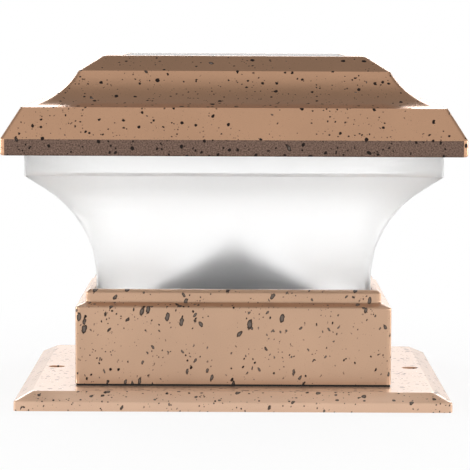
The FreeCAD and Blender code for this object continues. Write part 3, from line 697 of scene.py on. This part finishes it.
def chip_legs():
    mesh = bmesh.new()
    low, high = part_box("driver_chip")
    for index in range(LEG_COUNT):
        x = low.x + FIRST_LEG + LEG_PITCH * index
        for near, far in ((low.y - LEG_REACH, low.y), (high.y, high.y + LEG_REACH)):
            add_block(mesh, (x - LEG_HALF_WIDTH, near, board_high.z),
                      (x + LEG_HALF_WIDTH, far, board_high.z + LEG_HEIGHT))
    finished("chip_legs", mesh, tin, "roof", 0.06 * MM)


def small_parts():
    """A row of resistors: black bodies and their tinned ends."""
    bodies, ends = bmesh.new(), bmesh.new()
    y = board_low.y + RESISTOR_INSET
    front, back = y - RESISTOR_HALF_WIDTH, y + RESISTOR_HALF_WIDTH
    top = board_high.z + RESISTOR_HEIGHT
    for index in range(RESISTOR_COUNT):
        x = FIRST_RESISTOR + RESISTOR_PITCH * index
        add_block(bodies, (x - RESISTOR_HALF_LENGTH, front, board_high.z),
                  (x + RESISTOR_HALF_LENGTH, back, top))
        for side in (-1, 1):
            middle = x + side * (RESISTOR_HALF_LENGTH + RESISTOR_END / 2)
            add_block(ends, (middle - RESISTOR_END / 2, front, board_high.z),
                      (middle + RESISTOR_END / 2, back, top))
    finished("resistor_bodies", bodies, chip_black, "roof", 0.05 * MM)
    finished("resistor_ends", ends, tin, "roof", 0.05 * MM)


solder_joints()
chip_legs()
small_parts()

# %% [markdown]
# ## The studio
# The lamp stands in a pale room. Faces that look forward mirror the bright front of the room; the roof's
# top slope and the foot of its cove mirror the ceiling further back, which is dim. So the world is bright
# low down and in front, and dim above and behind. The camera, and rays that pass through the lens, see it
# as plain white. The floor is plain white for mirrored rays too, but for a soft shade under the lamp.

# %% World and floor
WHITE = (1.0, 1.0, 1.0)


def studio_world():
    world = bpy.data.worlds.new("white_room")
    bpy.context.scene.world = world
    world.use_nodes = True
    room = Graph(world.node_tree)
    room.tree.nodes.clear()
    direction = room.node("TexCoord", output="Generated")
    split = room.node("SeparateXYZ", {}, {"Vector": direction})
    high = ((split.other("Z") - WALL_TOP) / WALL_FADE).clamped()
    behind = ((split.other("Y") - DOME_FRONT) / DOME_FADE).clamped()
    light = room.mix(high * behind, (WALL,) * 3, (CEILING_SHADE,) * 3)
    seen = room.node("LightPath", output="Is Camera Ray")
    through = seen.other("Is Transmission Ray")
    lit = room.node("Background", {}, {"Color": light})
    plain = room.node("Background", {}, {"Color": WHITE})
    shown = room.node("MixShader", {}, {0: seen.larger(through), 1: lit, 2: plain})
    room.feed(room.tree.nodes.new("ShaderNodeOutputWorld").inputs["Surface"], shown)


WALL = 0.72
WALL_TOP = 0.10
WALL_FADE = 0.35
DOME_FRONT = -0.40
DOME_FADE = 0.55
CEILING_SHADE = 0.25
studio_world()

FLOOR_SIZE = 12.0
SHADOW_REACH = 0.28
SHADOW_DEPTH = 0.25


def studio_floor():
    mesh = bpy.data.meshes.new("floor")
    half = FLOOR_SIZE / 2
    corners = [(-half, -half, 0), (half, -half, 0), (half, half, 0), (-half, half, 0)]
    mesh.from_pydata(corners, [], [(0, 1, 2, 3)])
    floor = bpy.data.objects.new("floor", mesh)
    bpy.context.scene.collection.objects.link(floor)
    finish = Finish("floor_paper", (0.86, 0.86, 0.86), Roughness=0.9)
    seen = finish.node("LightPath", output="Is Camera Ray")
    bright = seen.larger(seen.other("Is Transmission Ray")).larger(seen.other("Is Glossy Ray"))
    here = finish.node("TexCoord", output="Object")
    far = finish.node("VectorMath", {"operation": "LENGTH"}, {0: here}, output="Value")
    open_floor = (far / SHADOW_REACH).clamped()
    white = finish.node("Emission", {}, {"Color": WHITE, "Strength": 1.0})
    glow = bright * (1 - (1 - open_floor) * SHADOW_DEPTH)
    surface = finish.node("MixShader", {}, {0: glow, 1: Field(finish, finish.shader.outputs[0]), 2: white})
    finish.feed(finish.tree.nodes["Material Output"].inputs["Surface"], surface)
    mesh.materials.append(finish.material)


studio_floor()

# %% [markdown]
# Two broad softboxes stand in front, one on each side of the camera. Two narrow ones at the sides draw
# bright lines on upright corners, and one behind lights the lens. A lamp's power follows from the
# brightness wanted: a white wall facing an even white sky receives pi watts a square metre, and `share`
# is the part of that which the lamp gives at the middle of the post light.

# %% Lamps
def softbox(name, place, target, width, height, share):
    """Area lamp that gives a surface facing it, at the target, this share of full white."""
    light = bpy.data.lights.new(name, "AREA")
    light.shape = "RECTANGLE"
    light.size = width
    light.size_y = height
    distance = (Vector(target) - Vector(place)).length
    light.energy = share * math.pi * math.pi * distance ** 2
    lamp = bpy.data.objects.new(name, light)
    bpy.context.scene.collection.objects.link(lamp)
    lamp.location = place
    lamp.rotation_euler = (Vector(target) - Vector(place)).to_track_quat("-Z", "Y").to_euler()


MIDDLE = (solids_box[0] + solids_box[1]) / 2
softbox("front_left", (-1.1, -1.7, 0.6), MIDDLE, 1.3, 0.9, 0.17)
softbox("front_right", (1.1, -1.7, 0.6), MIDDLE, 1.3, 0.9, 0.17)
softbox("side_left", (-1.8, 0.35, 0.4), MIDDLE, 0.45, 1.1, 0.75)
softbox("side_right", (1.8, 0.35, 0.4), MIDDLE, 0.45, 1.1, 0.75)
softbox("back_high", (0.0, 1.9, 0.8), MIDDLE, 1.8, 0.7, 0.45)

# %% [markdown]
# The camera stands a metre away, level with the roof's top and tipped down a little, on a long lens. The
# picture's focal length in pixels and its width give the focal length on a 36 mm sensor.

# %% Camera
PICTURE_WIDTH = 470
FOCAL_PIXELS = 2793
AXIS_PIXELS_DOWN = 210
SENSOR = 36.0
CAMERA_PLACE = (0.00043, -1.0, 0.129)
ROLL = math.radians(0.25)


def photograph_camera():
    data = bpy.data.cameras.new("camera")
    data.sensor_width = SENSOR
    data.lens = FOCAL_PIXELS / PICTURE_WIDTH * SENSOR
    camera = bpy.data.objects.new("camera", data)
    bpy.context.scene.collection.objects.link(camera)
    pitch = math.pi / 2 - math.atan(AXIS_PIXELS_DOWN / FOCAL_PIXELS)
    turn = Matrix.Rotation(pitch, 4, "X") @ Matrix.Rotation(ROLL, 4, "Z")
    camera.matrix_world = Matrix.Translation(CAMERA_PLACE) @ turn
    bpy.context.scene.camera = camera
    print("camera lens", round(data.lens, 1), "mm")


photograph_camera()
bpy.context.scene.view_settings.view_transform = "Standard"
